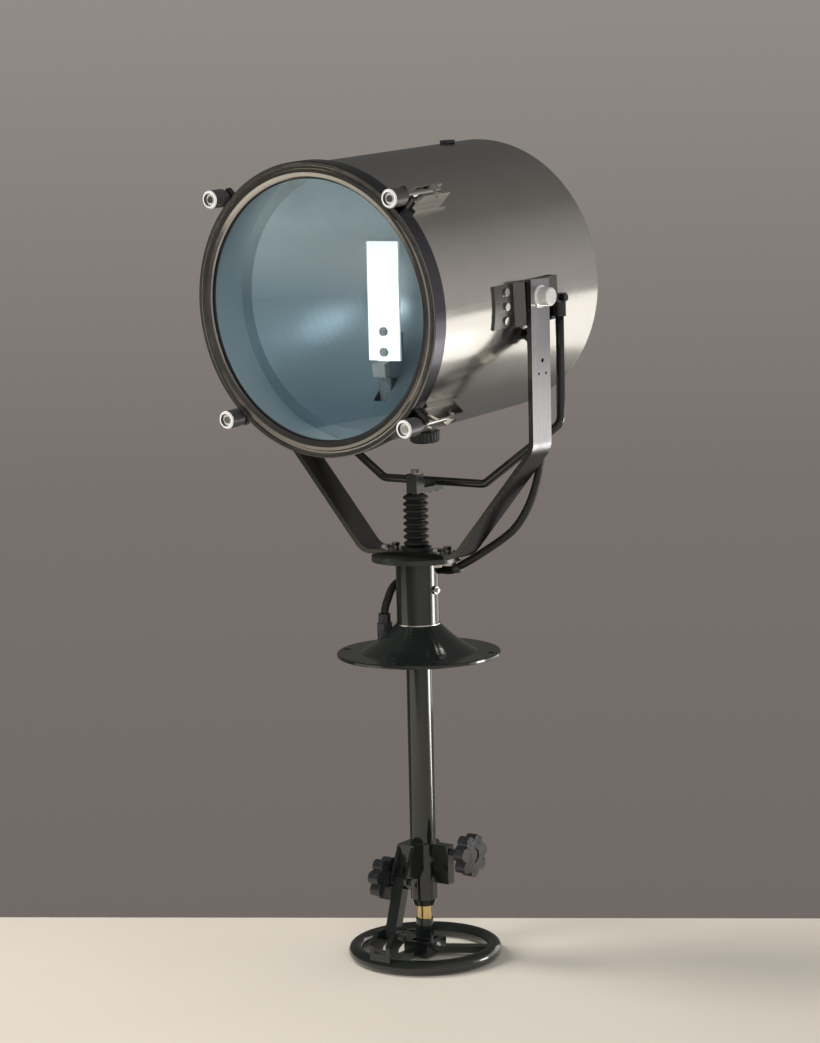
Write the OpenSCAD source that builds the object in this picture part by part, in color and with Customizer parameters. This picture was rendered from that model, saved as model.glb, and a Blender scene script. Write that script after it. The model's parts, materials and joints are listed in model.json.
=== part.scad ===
// Cabin-controlled searchlight for a deckhead or wheelhouse roof.
// Millimetres, +Z up, the beam points towards -Y.
// Origin: centre of the deck flange's underside.

/* [Lamp head] */
// Radius of the drum
drum_r = 164; // [140:1:175]
// Thickness of the drum's sheet
drum_t = 1.5; // [1:0.5:3]
// Drum's front edge ahead of the trunnions
drum_front = 172; // [150:1:180]
// Drum's rear edge behind the trunnions
drum_rear = 150; // [120:1:170]
// Height of the drum's axis above the trunnions
drum_rise = 4.5; // [0:0.5:10]
// Height of the trunnions above the deck
trunnion_z = 431; // [400:1:460]
// Stored tilt of the head, front down, in degrees
head_tilt = 4; // [0:1:10]
// Outer radius of the front ring
ring_r = 168; // [166:1:180]
// Radius of the clear opening in the front ring
opening_r = 149.5; // [130:0.5:152]
// Distance of the front ring's face ahead of the trunnions
ring_front = 186.6; // [180:0.1:200]
// Focal length of the reflector
focal_length = 47.6; // [40:0.1:60]

/* [Clamps] */
// Radius of the circle that the four clamp bolts stand on
clamp_r = 179.5; // [176:0.5:186]
// Radius of a clamp nut
nut_r = 10.5; // [8:0.5:13]
// Length of a clamp nut
nut_len = 27.4; // [18:0.1:30]

/* [Yoke] */
// Outside width of the yoke
yoke_w = 364; // [350:1:400]
// Width of the yoke's flat bar
bar_w = 38; // [25:1:50]
// Thickness of the yoke's flat bar
bar_t = 6; // [4:0.5:8]
// Height of the bend at the foot of each arm
bend_z = 256; // [230:1:280]
// Half the length of the yoke's level base
base_half = 67; // [55:1:80]
// Height of the underside of the yoke's base
base_z = 121; // [115:1:130]

/* [Elevation linkage] */
// Diameter of the bail rod
bail_d = 10; // [6:0.5:12]
// Distance of the bail behind the trunnions
bail_y = 38; // [30:1:45]
// Height of the bail's level part
bail_z = 205.5; // [200:0.5:220]
// Diameter of the push rod
rod_d = 12; // [8:0.5:14]
// Diameter of the brass foot of the push rod
rod_foot_d = 17; // [14:0.5:18]

/* [Pedestal] */
// Radius of the deck flange
flange_r = 98; // [85:1:120]
// Thickness of the deck flange's rim
flange_t = 4.5; // [3:0.5:8]
// Radius of the bolt circle
bolt_circle_r = 89; // [80:0.5:92]
// Diameter of the deck bolt holes
bolt_hole_d = 9; // [6:0.5:11]
// Outside diameter of the turning sleeve
sleeve_d = 51; // [45:1:60]
// Outside diameter of the standing tube
tube_d = 31; // [28:1:34]

/* [Controls] */
// Outside radius of the handwheel
wheel_r = 93; // [80:1:110]
// Thickness of the handwheel's rim
rim_d = 18; // [12:1:20]
// Diameter of the star knobs
star_d = 52; // [40:1:60]
// Diameter of the cable
cable_d = 9.5; // [7:0.5:11]

/* [Hidden] */
$fn = 96;
eps = 0.05;
slip = 0.05;
fine = 160;

// Head
drum_in = drum_r - drum_t;
ring_t = 3;
ring_back = drum_front - 6;
glass_t = 5;
glass_r = opening_r + 6;
mirror_r = 148;
mirror_t = 1.5;
mirror_vertex = 3;
mirror_rim = mirror_vertex - mirror_r * mirror_r / (4 * focal_length);
mirror_slot_r = 9;
mirror_steps = 24;
cover_depth = 12;
hat_x = 175;
hat_t = 2.5;
hat_low = -31;
hat_high = 19;
shank_d = 12;
bush_r = 9;
boss_r = 10.8;
boss_len = 16;
arm_in = yoke_w / 2 - bar_t;
plate_y = -59;
plate_t = 3;
plate_foot = -70;
carrier_z = -154;
stem_y = 10;
stem_r = 4;
focus_travel = 6;
focus_r = 18;
focus_top = -160.3;
focus_h = 18;

// Clamps
CLAMP_ANGLES = [45, 135, 225, 315];
pivot_y = -118;
clamp_bolt_r = 4;
nut_back = -175.6;
lug_t = 8;
lug_front = -175;
eye_r = 7.5;
cheek_gap = 5.4;
cheek_t = 3;
cheek_rear = -98;
cheek_front = -156;

// Elevation linkage
pin_y = bail_y;
pin_z = -6;
pin_r = 2.5;
bail_x = 183;
bail_half = 73.7;
bail_bend_z = 283;
bail_end_z = 423;
slot_r = 3.3;
slot_lo = 32.9;
slot_hi = 39.3;
head_x = 7.5;
rod_top = 195;
foot_top = -180;
foot_bottom = -345;
hub_z = -357;
link_top = [-45, -268];
link_end = [-66, -331];

// Pedestal
boss_top = 38;
washer_t = 1.5;
sleeve_low = boss_top + washer_t;
sleeve_top = base_z - 6;
sleeve_in = 17.5;
tube_in = 13;
tube_top = 104;
tube_low = -246;
control_r = 11.8;
control_in = 9.2;
head_low = -307;
collar_r = 20;
collar_top = -229;
collar_low = -251;
turntable_r = 54;
base_bolt_x = 38;
base_bolt_y = 10;
gland_x = -35;
gland_y = -20;
star_lobes = 7;

// Points of the cable's routes: head to arm, down the arm, and round the sleeve
HEAD_ROUTE = [[166, 8, 368], [167, 8, 359], [169, 8, 350], [170, 8, 342], [170, 8, 330]];
ARM_ROUTE = [[170, 8, 329.6], [170, 8, 319], [169, 14, 304], [168, 21.5, 290], [166, 25.5, 276],
    [164, 26.5, 260], [161, 27, 240], [156, 28, 219], [147, 29, 195], [135, 30, 174], [120, 31, 156],
    [102, 31, 142], [82, 29.5, 129], [64, 26.5, 117.5], [49, 24.9, 109.1], [42.3, 26, 105.7]];
TRAIN_ROUTE = [[41.7, 26, 105.3], [35, 27.1, 101.9], [24, 31.5, 99.5], [10, 35, 98.5], [-3, 34.5, 97],
    [-14, 31.5, 94.5], [-25, 23, 91], [-31, 11, 87], [-33, -1, 82], [-33.5, -9, 75],
    [-33.5, -14.5, 67], [-34.5, -18, 59], [-35, -20, 50]];

// ---------------------------------------------------------------- helpers

function unit(v) = v / norm(v);
function arc_bend(a, b, c, r, n) =
    let (u = unit(a - b),
        w = unit(c - b),
        half = acos(u * w) / 2,
        centre = b + unit(u + w) * r / sin(half),
        from = b + u * r / tan(half) - centre,
        to = b + w * r / tan(half) - centre)
    [for (i = [0 : n])
        let (t = i / n, v = from * (1 - t) + to * t) centre + unit(v) * r];
function rounded_path(pts, r, n) =
    [pts[0],
        for (i = [1 : len(pts) - 2]) each arc_bend(pts[i - 1], pts[i], pts[i + 1], r, n),
        pts[len(pts) - 1]];
function side_step(pts, i) =
    let (a = pts[max(i - 1, 0)],
        b = pts[min(i + 1, len(pts) - 1)],
        d = unit(b - a))
    [-d[1], d[0]];
function offset_path(pts, d) = [for (i = [0 : len(pts) - 1]) pts[i] + side_step(pts, i) * d];
function reversed(v) = [for (i = [len(v) - 1 : -1 : 0]) v[i]];

// A flat bar bent along a path in the XZ plane, `width` wide along Y
module bent_bar(path, thick, width) {
    rotate([90, 0, 0])
        linear_extrude(width, center = true)
            polygon(concat(offset_path(path, thick / 2), reversed(offset_path(path, -thick / 2))));
}

function spline_point(p, i, t) =
    let (a = p[max(i - 1, 0)],
        b = p[i],
        c = p[i + 1],
        d = p[min(i + 2, len(p) - 1)])
    0.5 * (2 * b + (c - a) * t + (2 * a - 5 * b + 4 * c - d) * t * t
        + (3 * b - a - 3 * c + d) * t * t * t);
function spline(p, n) =
    [for (i = [0 : len(p) - 2]) for (k = [0 : n - 1]) spline_point(p, i, k / n), p[len(p) - 1]];
function ring_at(path, i, r, sides) =
    let (d = unit(path[min(i + 1, len(path) - 1)] - path[max(i - 1, 0)]),
        ref = abs(d[1]) > 0.8 ? [1, 0, 0] : [0, 1, 0],
        u = unit(cross(d, ref)),
        v = cross(d, u))
    [for (k = [0 : sides - 1]) path[i] + r * (cos(360 * k / sides) * u + sin(360 * k / sides) * v)];

// A round tube swept along a path as one closed solid
module swept_tube(path, r, sides) {
    rings = [for (i = [0 : len(path) - 1]) each ring_at(path, i, r, sides)];
    last = (len(path) - 1) * sides;
    polyhedron(
        points = rings,
        faces = [
            [for (k = [0 : sides - 1]) k],
            [for (k = [sides - 1 : -1 : 0]) last + k],
            for (i = [0 : len(path) - 2]) for (k = [0 : sides - 1])
                [i * sides + k, (i + 1) * sides + k,
                    (i + 1) * sides + (k + 1) % sides, i * sides + (k + 1) % sides]
        ]);
}

// Puts the trunnion axis at its height and tilts the head to its stored angle
module at_head() {
    translate([0, 0, trunnion_z])
        rotate([head_tilt, 0, 0])
            children();
}

// Turns a profile drawn as [radius, distance along the beam axis] round the drum's axis
module round_drum() {
    at_head()
        translate([0, 0, drum_rise])
            rotate([-90, 0, 0])
                rotate_extrude($fn = fine)
                    children();
}

// Clamp frame: +X radial, +Z tangential, the bolt lies along Y
module at_clamp(angle) {
    at_head()
        translate([0, 0, drum_rise])
            rotate([0, -angle, 0])
                translate([clamp_r, 0, 0])
                    children();
}

module both_sides() {
    for (s = [0, 1])
        mirror([s, 0, 0])
            children();
}

module x_rod(x0, x1, r) {
    translate([x0, 0, 0])
        rotate([0, 90, 0])
            cylinder(h = x1 - x0, r = r);
}

module y_rod(y0, y1, r) {
    translate([0, y1, 0])
        rotate([90, 0, 0])
            cylinder(h = y1 - y0, r = r);
}

module hex_head(r, h) {
    cylinder(h = h, r = r, $fn = 6);
}

module pipe(z0, z1, r_out, r_in) {
    translate([0, 0, z0])
        difference() {
            cylinder(h = z1 - z0, r = r_out);
            translate([0, 0, -1])
                cylinder(h = z1 - z0 + 2, r = r_in);
        }
}

// ---------------------------------------------------------------- deck mount

module deck_flange() {
    cone_r = 70;
    neck_r = 27;
    flare = 46;
    color("#23241f")
        difference() {
            rotate_extrude($fn = fine)
                polygon(concat(
                    [[0, 0], [flange_r - 1, 0], [flange_r, 1], [flange_r, flange_t - 1],
                        [flange_r - 1, flange_t]],
                    [for (i = [0 : 10])
                        let (t = i / 10)
                        [cone_r * pow(1 - t, 2) + 2 * flare * t * (1 - t) + neck_r * pow(t, 2),
                            flange_t + (boss_top - flange_t) * (0.75 * t + 0.25 * t * t)]],
                    [[0, boss_top]]));
            translate([0, 0, -1])
                cylinder(h = boss_top + 2, r = tube_d / 2);
            for (k = [0 : 3])
                rotate(22 + 90 * k)
                    translate([bolt_circle_r, 0, -1])
                        cylinder(h = flange_t + 2, d = bolt_hole_d);
            translate([gland_x, gland_y, 14])
                cylinder(h = boss_top, r = 9.1);
            translate([gland_x, gland_y, 29.9])
                cylinder(h = boss_top, r = 10.4);
        }
}

module standing_tube() {
    color("#23241f")
        pipe(tube_low, tube_top, tube_d / 2, tube_in);
}

module thrust_washer() {
    color("#c9c8c2")
        pipe(boss_top, sleeve_low - slip, sleeve_d / 2 + 1.5, tube_d / 2 + slip);
}

module deck_gland() {
    color("#1b1b1b")
        translate([gland_x, gland_y, 14])
            difference() {
                union() {
                    cylinder(h = 16, r = 9);
                    translate([0, 0, 16])
                        hex_head(10, 9);
                    translate([0, 0, 25])
                        cylinder(h = 11, r = 7.5);
                }
                translate([0, 0, 4])
                    cylinder(h = 40, r = cable_d / 2);
            }
}

// ---------------------------------------------------------------- turret

module turning_sleeve() {
    color("#23241f")
        difference() {
            pipe(sleeve_low, sleeve_top, sleeve_d / 2, sleeve_in);
            translate([0, 0, 80])
                x_rod(0, sleeve_d, 3);
        }
}

module sleeve_bushes() {
    color("#b08d57")
        for (z = [sleeve_low + 2, tube_top - 18])
            pipe(z, z + 16, sleeve_in, tube_d / 2 + slip);
}

module grease_nipple() {
    color("#cfcfca")
        translate([0, 0, 80]) {
            x_rod(sleeve_in + 0.5, sleeve_d / 2, 3);
            x_rod(sleeve_d / 2, sleeve_d / 2 + 3, 5);
            x_rod(sleeve_d / 2 + 3, sleeve_d / 2 + 6, 2.5);
        }
}

module base_bolt_places() {
    for (sx = [-1, 1])
        for (sy = [-1, 1])
            translate([sx * base_bolt_x, sy * base_bolt_y, 0])
                children();
}

module turntable() {
    color("#2b2c27")
        difference() {
            translate([0, 0, sleeve_top])
                cylinder(h = base_z - sleeve_top, r = turntable_r);
            translate([0, 0, sleeve_top - 1])
                cylinder(h = 10, r = control_r);
            base_bolt_places()
                translate([0, 0, sleeve_top - 1])
                    cylinder(h = 10, r = 3.1);
        }
}

function yoke_path() =
    let (x = yoke_w / 2 - bar_t / 2,
        z = base_z + bar_t / 2)
    rounded_path([[-x, trunnion_z + 20], [-x, bend_z], [-base_half, z],
        [base_half, z], [x, bend_z], [x, trunnion_z + 20]], 24, 8);

module yoke() {
    color("#a5a39d")
        difference() {
            bent_bar(yoke_path(), bar_t, bar_w);
            translate([0, 0, trunnion_z])
                x_rod(-yoke_w, yoke_w, shank_d / 2 + slip);
            both_sides() {
                translate([0, 2.6, 358])
                    x_rod(arm_in - 1, yoke_w, 2.5);
                for (y = [-5, 9.5])
                    translate([0, y, 343])
                        x_rod(arm_in - 1, yoke_w, 1.6);
            }
            translate([0, 0, base_z - 1])
                cylinder(h = bar_t + 2, r = control_r);
            base_bolt_places()
                translate([0, 0, base_z - 1])
                    cylinder(h = bar_t + 2, r = 3.1);
        }
}

module yoke_bolts() {
    color("#d4d3ce")
        base_bolt_places() {
            translate([0, 0, sleeve_top - 5])
                cylinder(h = base_z + bar_t - sleeve_top + 9, r = 3);
            translate([0, 0, base_z + bar_t])
                cylinder(h = 1.2, r = 6.2);
            translate([0, 0, base_z + bar_t + 1.2])
                hex_head(5.8, 4);
            translate([0, 0, sleeve_top - 5])
                hex_head(5.8, 5);
        }
}

module trunnion_bolts() {
    x_out = yoke_w / 2;
    color("#d4d3ce")
        both_sides()
            translate([0, 0, trunnion_z]) {
                x_rod(167, x_out, shank_d / 2);
                x_rod(167, hat_x - hat_t - 0.6, 8.5);
                x_rod(x_out, x_out + 1.5, 13);
                x_rod(x_out + 1.5, x_out + boss_len - 1.5, boss_r);
                translate([x_out + boss_len - 1.5, 0, 0])
                    rotate([0, 90, 0])
                        cylinder(h = 1.5, r1 = boss_r, r2 = boss_r - 1.5);
            }
}

module control_tube() {
    color("#3a3b36")
        pipe(-298, base_z + bar_t, control_r, control_in);
}

module control_head() {
    color("#20211d")
        difference() {
            union() {
                pipe(collar_low, collar_top, collar_r, tube_d / 2 + slip);
                pipe(-299, collar_low + 4, 16, control_r);
                translate([0, 0, head_low])
                    rotate_extrude()
                        polygon([[control_r, 0], [12.5, 0], [16, 8], [control_r, 8]]);
                difference() {
                    translate([collar_r - 5, -6, -276])
                        cube([26, 12, 47]);
                    translate([0, 0, -280])
                        cylinder(h = 60, r = 16 - eps);
                }
            }
            translate([0, 0, tube_low - 0.5])
                cylinder(h = 30, r = tube_d / 2 + slip);
            translate([0, 0, -237])
                x_rod(10, 60, 4 + slip);
            for (z = [-240, -262])
                translate([0, 0, z])
                    y_rod(-30, -12, 2.1);
        }
}

// Two cheek plates that carry the link's pivot, joined by a saddle on the control head
module link_bracket() {
    cheek_in = 8;
    cheek_out = 12;
    color("#1e1f1b")
        difference() {
            union() {
                for (s = [-1, 1])
                    translate([s * (cheek_in + cheek_out) / 2, 0, 0])
                        rotate([90, 0, 90])
                            linear_extrude(cheek_out - cheek_in, center = true)
                                polygon([[-16, -226], [-35, -226], [-52, -264], [-52.5, -271],
                                    [-48, -276.5], [-40, -276.5], [-16, -260]]);
                translate([-cheek_out, -36, -255])
                    cube([2 * cheek_out, 20, 29]);
            }
            translate([0, 0, -290])
                cylinder(h = 70, r = collar_r + eps);
            translate([0, link_top[0], link_top[1]])
                x_rod(-20, 20, 4 + slip);
        }
}

// P-clips that hold the cable to the arm and under the turntable
module cable_clips() {
    color("#8d8d88") {
        translate([170, 8, 330])
            clip_ring(5.9, 20);
        translate([arm_in - 1, -4, 324])
            cube([1, 9, 12]);
        translate([42, 26, 105.5])
            rotate([0, 63, -9])
                clip_ring(6.6, 8);
        translate([36.5, 19.5, 110.5])
            cube([4, 8, sleeve_top - 110.5]);
    }
}

module clip_ring(r, h) {
    translate([0, 0, -h / 2])
        difference() {
            cylinder(h = h, r = r);
            translate([0, 0, -1])
                cylinder(h = h + 2, r = cable_d / 2 + 0.3);
        }
}

module bellows_collar() {
    color("#1c1c1c")
        pipe(base_z + bar_t, base_z + bar_t + 4, 18, rod_d / 2 + 3);
}

module guide_bushes() {
    color("#b08d57") {
        pipe(head_low + 1, head_low + 9, control_r, rod_foot_d / 2 + slip);
        pipe(100, base_z + bar_t, control_in, rod_d / 2 + slip);
    }
}

module arm_cable() {
    color("#161616")
        swept_tube(spline(ARM_ROUTE, 2), cable_d / 2, 10);
}

module train_cable() {
    color("#161616")
        swept_tube(spline(TRAIN_ROUTE, 2), cable_d / 2, 10);
}

// ---------------------------------------------------------------- push rod

module push_rod() {
    color("#c9a24d") {
        translate([0, 0, foot_bottom])
            cylinder(h = foot_top - foot_bottom, d = rod_foot_d);
        translate([0, 0, foot_top])
            cylinder(h = rod_top - foot_top, d = rod_d);
    }
}

module rod_head() {
    color("#6f706b")
        difference() {
            union() {
                translate([-head_x, -head_x, rod_top])
                    cube([2 * head_x, 2 * head_x, 23]);
                translate([-head_x, -head_x, rod_top])
                    cube([2 * head_x, bail_y + 2 * head_x, 6]);
                translate([-head_x, bail_y - 9, rod_top])
                    cube([2 * head_x, 18, 13]);
            }
            translate([0, bail_y, bail_z])
                x_rod(-20, 20, bail_d / 2);
        }
}

module rod_head_bolts() {
    color("#d8d7d2") {
        translate([0, 0, rod_top + 23]) {
            cylinder(h = 1, r = 6);
            translate([0, 0, 1])
                hex_head(5.5, 4);
        }
        for (s = [-1, 1])
            translate([0, bail_y + s * 7, rod_top - 3])
                hex_head(3, 3);
    }
}

// U-shaped rod that lifts and lowers the head
module elevation_bail() {
    path = rounded_path([[-bail_x, bail_end_z], [-bail_x, bail_bend_z], [-bail_half, bail_z],
        [bail_half, bail_z], [bail_x, bail_bend_z], [bail_x, bail_end_z]], 16, 5);
    color("#1a1a1a")
        swept_tube([for (q = path) [q[0], bail_y, q[1]]], bail_d / 2, 16);
}

module bail_ends() {
    color("#1a1a1a")
        both_sides()
            difference() {
                union() {
                    translate([bail_x, bail_y, bail_end_z - 17])
                        cylinder(h = 17, r = 7.5);
                    translate([bail_x - 5, 26, bail_end_z])
                        cube([10, 20, 10]);
                }
                translate([bail_x, bail_y, bail_end_z - 20])
                    cylinder(h = 20, r = bail_d / 2 + eps);
                translate([0, 0, trunnion_z + pin_rest_z()]) {
                    for (y = [slot_lo, slot_hi])
                        translate([0, y, 0])
                            x_rod(bail_x - 10, bail_x + 10, slot_r);
                    translate([bail_x - 10, slot_lo, -slot_r])
                        cube([20, slot_hi - slot_lo, 2 * slot_r]);
                }
            }
}

function pin_rest_z() = pin_y * sin(head_tilt) + pin_z * cos(head_tilt);

module fork_sleeve() {
    color("#1b1b1b")
        difference() {
            translate([0, 0, -368])
                cylinder(h = 44, r = 10.7);
            translate([0, 0, foot_bottom])
                cylinder(h = 40, d = rod_foot_d);
            translate([0, 0, hub_z])
                x_rod(-20, 20, 3 + slip);
        }
}

module bellows() {
    folds = 8;
    z0 = base_z + bar_t + 4;
    pitch = (rod_top - z0 - 1) / folds;
    color("#191919")
        translate([0, 0, z0])
            rotate_extrude()
                polygon(concat([[rod_d / 2 + 1, 0]],
                    [for (i = [0 : folds - 1]) each
                        [[11, i * pitch], [15.5, (i + 0.35) * pitch], [15.5, (i + 0.65) * pitch]]],
                    [[11, folds * pitch], [rod_d / 2 + 1, folds * pitch]]));
}

// ---------------------------------------------------------------- handwheel and link

module handwheel() {
    rim_c = wheel_r - rim_d / 2;
    z = -362;
    color("#1f201c")
        difference() {
            union() {
                translate([0, 0, z])
                    rotate_extrude($fn = fine)
                        translate([rim_c, 0])
                            circle(d = rim_d);
                for (a = [30, 150, 270])
                    rotate(a)
                        translate([16, -7, z - 4])
                            cube([rim_c - 16, 14, 8]);
                translate([-17, -20, z - 5])
                    cube([34, 40, 17]);
            }
            translate([-11.1, -14, z - 10])
                cube([22.2, 28, 24]);
            translate([0, 0, hub_z])
                x_rod(-20, 20, 3);
            both_sides()
                translate([0, 0, hub_z])
                    x_rod(16.5, 21, 5.2);
        }
}

// Clamp block on the rim with two ears for the link's lower pin
module wheel_lugs() {
    color("#20211d")
        difference() {
            union() {
                for (s = [-1, 1])
                    translate([s * 11.5, 0, 0])
                        rotate([90, 0, 90])
                            linear_extrude(6, center = true)
                                polygon([[-92, -354], [-92, -338], [-82, -323], [-64, -323],
                                    [-58, -329], [-60, -337], [-73, -343], [-76, -354]]);
                translate([-14.5, -92, -356])
                    cube([29, 17, 9]);
            }
            translate([0, 0, -362])
                rotate_extrude($fn = fine)
                    translate([wheel_r - rim_d / 2, 0])
                        circle(d = rim_d + eps);
            translate([0, link_end[0], link_end[1]])
                x_rod(-20, 20, 3);
        }
}

module wheel_pins() {
    color("#cfcec8") {
        translate([0, 0, hub_z]) {
            x_rod(-16.5, 16.5, 3);
            x_rod(16.5, 19.5, 5);
            x_rod(-19.5, -16.5, 5);
        }
        translate([0, link_end[0], link_end[1]]) {
            x_rod(-14.5, 14.5, 3);
            x_rod(14.5, 17.5, 4.5);
            x_rod(-17.5, -14.5, 4.5);
        }
    }
}

module link_bar() {
    run = link_end - link_top;
    long = norm(run);
    wide = 12;
    color("#24251f")
        difference() {
            translate([0, link_top[0], link_top[1]])
                rotate([atan2(run[1], run[0]), 0, 0])
                    union() {
                        x_rod(-7.5, 7.5, wide / 2);
                        translate([-7.5, 0, -wide / 2])
                            cube([15, long, wide]);
                        translate([0, long, 0])
                            x_rod(-7.5, 7.5, wide / 2);
                    }
            translate([0, link_top[0], link_top[1]])
                x_rod(-20, 20, 4 + slip);
            translate([0, link_end[0], link_end[1]])
                x_rod(-20, 20, 4.5);
        }
}

// Star knob along +X with its stud towards -X; the face is at x = 0
module star_knob(stud_r, stud_len, hub_len) {
    lobe_r = 8;
    lobe_c = star_d / 2 - lobe_r;
    thick = 14;
    rotate([0, 90, 0]) {
        difference() {
            translate([0, 0, -thick])
                linear_extrude(thick)
                    difference() {
                        union() {
                            circle(r = lobe_c + 1.5);
                            for (k = [0 : star_lobes - 1])
                                rotate(360 * k / star_lobes)
                                    translate([lobe_c, 0])
                                        circle(r = lobe_r, $fn = 32);
                        }
                        for (k = [0 : star_lobes - 1])
                            rotate(360 * (k + 0.5) / star_lobes)
                                translate([star_d / 2 - 1, 0])
                                    circle(r = 4, $fn = 32);
                    }
            translate([0, 0, -1.5])
                cylinder(h = 3, r = 9);
        }
        translate([0, 0, -thick - hub_len])
            cylinder(h = hub_len, r = 10);
        translate([0, 0, -thick - hub_len - stud_len])
            cylinder(h = stud_len, r = stud_r);
    }
}

module train_knob() {
    color("#1d2024")
        translate([76, 0, -237])
            star_knob(4, 36, 9.7);
}

module elevation_knob() {
    color("#1d2024")
        translate([-31.6, link_top[0], link_top[1]])
            mirror([1, 0, 0])
                star_knob(4, 30, 4);
}

// ---------------------------------------------------------------- lamp carriage

// Frame of the lamp's plate, which stands upright when the head is at its stored tilt
module at_plate() {
    at_head()
        translate([0, plate_y, plate_foot])
            rotate([-head_tilt, 0, 0])
                children();
}

// Runs under the reflector and carries the lamp in front of it
module lamp_carrier() {
    color("#f0efe9")
        difference() {
            union() {
                at_plate()
                    translate([-20.5, -plate_t / 2, 0])
                        cube([45, plate_t, 138]);
                at_head() {
                    translate([-8, plate_y - plate_t / 2, carrier_z])
                        cube([16, plate_t, plate_foot - carrier_z + 2]);
                    translate([-10, plate_y - plate_t / 2, carrier_z])
                        cube([20, stem_y - plate_y + 12, 4]);
                }
            }
            plate_screw_places()
                y_rod(-10, 10, 2.5);
            at_head()
                translate([0, stem_y, carrier_z - 1])
                    cylinder(h = 6, r = stem_r);
        }
}

module plate_screw_places() {
    for (z = [10, 34])
        at_plate()
            translate([2, 0, z])
                children();
}

module lampholder() {
    color("#c9c2b0") {
        at_plate()
            translate([-14, plate_t / 2, 2])
                cube([28, 18, 30]);
        at_head()
            translate([-9, plate_y - plate_t / 2 - 10, -88])
                cube([18, 10, 16]);
        plate_screw_places() {
            y_rod(-plate_t / 2 - 3, -plate_t / 2, 5);
            y_rod(-plate_t / 2, plate_t / 2, 2.4);
        }
    }
}

module lamp() {
    color("#e8f0f4")
        at_plate()
            translate([0, 10, 32]) {
                cylinder(h = 14, r = 6);
                translate([0, 0, 14])
                    cylinder(h = 48, r = 7.5);
                translate([0, 0, 62])
                    sphere(r = 7.5);
            }
}

module focus_stem() {
    color("#9c9b95")
        at_head()
            translate([0, stem_y, 0]) {
                translate([0, 0, focus_top - focus_h + 3])
                    cylinder(h = carrier_z - focus_top + focus_h - 3, r = stem_r);
                translate([0, 0, carrier_z])
                    cylinder(h = 4, r = stem_r);
                translate([0, 0, carrier_z + 4])
                    hex_head(7.5, 5);
            }
}

module focus_knob() {
    flutes = 24;
    color("#1c1c1c")
        at_head()
            translate([0, stem_y, focus_top - focus_h])
                difference() {
                    union() {
                        translate([0, 0, 2])
                            linear_extrude(11)
                                polygon([for (i = [0 : 4 * flutes - 1])
                                    let (r = focus_r - (i % 4 < 2 ? 0 : 0.9))
                                    r * [cos(90 * i / flutes), sin(90 * i / flutes)]]);
                        translate([0, 0, 13])
                            cylinder(h = 4.5, r = 12);
                        cylinder(h = 2, r1 = 15.5, r2 = focus_r - 0.9);
                    }
                    translate([0, 0, 2.8])
                        cylinder(h = 30, r = stem_r + slip);
                }
}

// ---------------------------------------------------------------- lamp head

module drum_shell() {
    color("#8f8d87")
        difference() {
            round_drum()
                polygon([[drum_in, -drum_front], [drum_r, -drum_front],
                    [drum_r, drum_rear], [drum_in, drum_rear]]);
            at_head()
                for (y = [-focus_travel, 0, focus_travel])
                    translate([0, stem_y + y, -175])
                        cylinder(h = 30, r = stem_r + 1);
            at_head()
                translate([-stem_r - 1, stem_y - focus_travel, -175])
                    cube([2 * stem_r + 2, 2 * focus_travel, 30]);
            at_head()
                both_sides()
                    bracket_screw_places()
                        x_rod(150, 175, 2.6);
            at_head()
                translate([0, 92, 140])
                    cylinder(h = 40, r = 5);
            at_head()
                head_gland_place()
                    x_rod(-20, 20, 5);
        }
}

module rear_cover() {
    color("#8f8d87")
        round_drum()
            polygon([[0, drum_rear + cover_depth], [60, drum_rear + cover_depth - 1],
                [120, drum_rear + 7], [150, drum_rear + 3.5], [156, drum_rear + 1.5],
                [drum_r, drum_rear + 1.5], [drum_r, drum_rear], [drum_in, drum_rear],
                [drum_in, drum_rear - 12], [drum_in - 1.5, drum_rear - 12],
                [drum_in - 1.5, drum_rear - 0.5], [155, drum_rear],
                [149, drum_rear + 2], [119, drum_rear + 5.5],
                [59, drum_rear + cover_depth - 2.5], [0, drum_rear + cover_depth - 1.5]]);
}

module front_ring() {
    color("#5d5d59")
        difference() {
            union() {
                round_drum()
                    polygon([[opening_r, -ring_front + 2.5], [opening_r + 1.5, -ring_front + 1],
                        [opening_r + 6, -ring_front], [opening_r + 9.5, -ring_front],
                        [opening_r + 11, -ring_front + 2], [opening_r + 13, -ring_front + 2],
                        [opening_r + 14, -ring_front + 0.3], [ring_r - 1, -ring_front],
                        [ring_r, -ring_front + 1], [ring_r, -ring_back], [drum_r + 0.1, -ring_back],
                        [drum_r + 0.1, -drum_front - 0.2], [glass_r + 4, -drum_front - 0.2],
                        [glass_r + 4, -ring_front + 4.5], [opening_r, -ring_front + 4.5]]);
                for (a = CLAMP_ANGLES)
                    at_clamp(a)
                        translate([ring_r - clamp_r - 1.5, lug_front, -10])
                            cube([clamp_r - ring_r + 6.5, lug_t, 20]);
            }
            for (a = CLAMP_ANGLES)
                at_clamp(a) {
                    y_rod(lug_front - 10, lug_front + 12, clamp_bolt_r + 0.6);
                    translate([0, lug_front - 1, -clamp_bolt_r - 0.6])
                        cube([10, lug_t + 2, 2 * clamp_bolt_r + 1.2]);
                }
        }
}

module glass_gasket() {
    y0 = -ring_front + 4.5;
    color("#141414")
        round_drum()
            polygon([[opening_r - 1.5, y0], [glass_r + 4, y0], [glass_r + 4, -drum_front],
                [glass_r - 3, -drum_front], [glass_r - 3, y0 + 2 + glass_t],
                [glass_r, y0 + 2 + glass_t], [glass_r, y0 + 2], [opening_r - 1.5, y0 + 2]]);
}

module front_glass() {
    y0 = -ring_front + 6.5;
    color("#7f9fae", 0.5)
        round_drum()
            polygon([[0, y0], [glass_r, y0], [glass_r, y0 + glass_t], [0, y0 + glass_t]]);
}

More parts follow.
